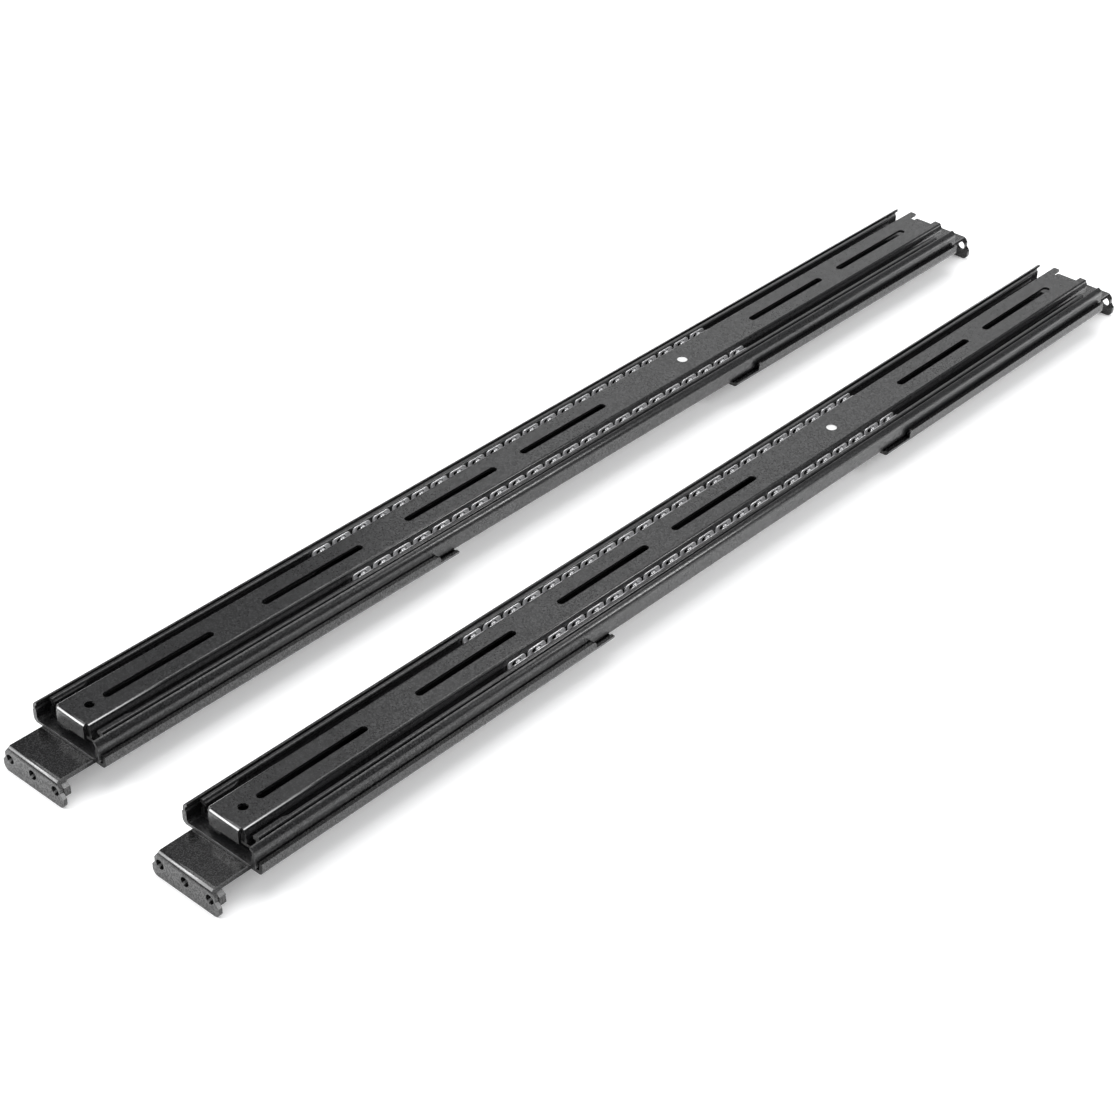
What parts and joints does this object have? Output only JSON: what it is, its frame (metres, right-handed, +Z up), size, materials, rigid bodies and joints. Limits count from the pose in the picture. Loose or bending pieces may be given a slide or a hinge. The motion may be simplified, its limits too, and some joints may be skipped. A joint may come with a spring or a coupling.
{
  "type": "sliding server rail pair",
  "caption": "Pair of black telescopic ball-bearing rails with slotted inner members and adjustable end brackets whose down-turned flanges bolt to rack posts.",
  "frame": {"origin": "on the surface the flanges stand on, halfway between the two rails and their two ends", "axes": "+Y along the rails from front to back, +X across them to the right rail, +Z up out of the open side of the outer members"},
  "size_m": [0.1528, 0.695, 0.0277],
  "materials": {
    "black_steel": "satin black coating on cold-rolled steel",
    "black_bracket": "satin black coating on folded sheet steel",
    "zinc_retainer": "bright zinc-plated strip",
    "zinc_rivet": "bright zinc plate",
    "zinc_fastener": "zinc plate",
    "spring_steel": "rolled spring steel",
    "ball_steel": "polished"
  },
  "bodies": {
    "rails": {"left_outer_member": "black_steel", "left_clamp_studs": "zinc_fastener", "left_clamp_nuts": "zinc_fastener", "right_outer_member": "black_steel", "right_clamp_studs": "zinc_fastener", "right_clamp_nuts": "zinc_fastener"},
    "left_middle": {"left_middle_member": "black_steel"},
    "left_inner": {"left_inner_member": "black_steel", "left_latch_rivet": "zinc_rivet", "left_latch_spring": "spring_steel"},
    "left_outer_ball_rows": {"left_outer_retainers": "zinc_retainer", "left_outer_balls": "ball_steel"},
    "left_inner_ball_rows": {"left_inner_retainers": "zinc_retainer", "left_inner_balls": "ball_steel"},
    "left_front_end": {"left_front_bracket": "black_bracket"},
    "left_rear_end": {"left_rear_bracket": "black_bracket"},
    "right_middle": {"right_middle_member": "black_steel"},
    "right_inner": {"right_inner_member": "black_steel", "right_latch_rivet": "zinc_rivet", "right_latch_spring": "spring_steel"},
    "right_outer_ball_rows": {"right_outer_retainers": "zinc_retainer", "right_outer_balls": "ball_steel"},
    "right_inner_ball_rows": {"right_inner_retainers": "zinc_retainer", "right_inner_balls": "ball_steel"},
    "right_front_end": {"right_front_bracket": "black_bracket"},
    "right_rear_end": {"right_rear_bracket": "black_bracket"}
  },
  "joints": [
    {"name": "left_middle_slide", "type": "slide", "parent": "rails", "child": "left_middle", "axis": [0, -1, 0], "range_m": [0, 0.32]},
    {"name": "left_inner_slide", "type": "slide", "parent": "left_middle", "child": "left_inner", "axis": [0, -1, 0], "range_m": [0, 0.272]},
    {"name": "left_outer_ball_slide", "type": "slide", "parent": "rails", "child": "left_outer_ball_rows", "axis": [0, -1, 0], "range_m": [0, 0.16]},
    {"name": "left_inner_ball_slide", "type": "slide", "parent": "left_middle", "child": "left_inner_ball_rows", "axis": [0, -1, 0], "range_m": [0, 0.136]},
    {"name": "left_front_adjust", "type": "slide", "parent": "rails", "child": "left_front_end", "axis": [0, -1, 0], "range_m": [0, 0.1]},
    {"name": "left_rear_adjust", "type": "slide", "parent": "rails", "child": "left_rear_end", "axis": [0, 1, 0], "range_m": [0, 0.08]},
    {"name": "right_middle_slide", "type": "slide", "parent": "rails", "child": "right_middle", "axis": [0, -1, 0], "range_m": [0, 0.32]},
    {"name": "right_inner_slide", "type": "slide", "parent": "right_middle", "child": "right_inner", "axis": [0, -1, 0], "range_m": [0, 0.272]},
    {"name": "right_outer_ball_slide", "type": "slide", "parent": "rails", "child": "right_outer_ball_rows", "axis": [0, -1, 0], "range_m": [0, 0.16]},
    {"name": "right_inner_ball_slide", "type": "slide", "parent": "right_middle", "child": "right_inner_ball_rows", "axis": [0, -1, 0], "range_m": [0, 0.136]},
    {"name": "right_front_adjust", "type": "slide", "parent": "rails", "child": "right_front_end", "axis": [0, -1, 0], "range_m": [0, 0.1]},
    {"name": "right_rear_adjust", "type": "slide", "parent": "rails", "child": "right_rear_end", "axis": [0, 1, 0], "range_m": [0, 0.08]}
  ],
  "couplings": [
    {"joint": "left_outer_ball_slide", "follows": "left_middle_slide", "ratio": 0.5},
    {"joint": "left_inner_ball_slide", "follows": "left_inner_slide", "ratio": 0.5},
    {"joint": "right_outer_ball_slide", "follows": "right_middle_slide", "ratio": 0.5},
    {"joint": "right_inner_ball_slide", "follows": "right_inner_slide", "ratio": 0.5}
  ]
}
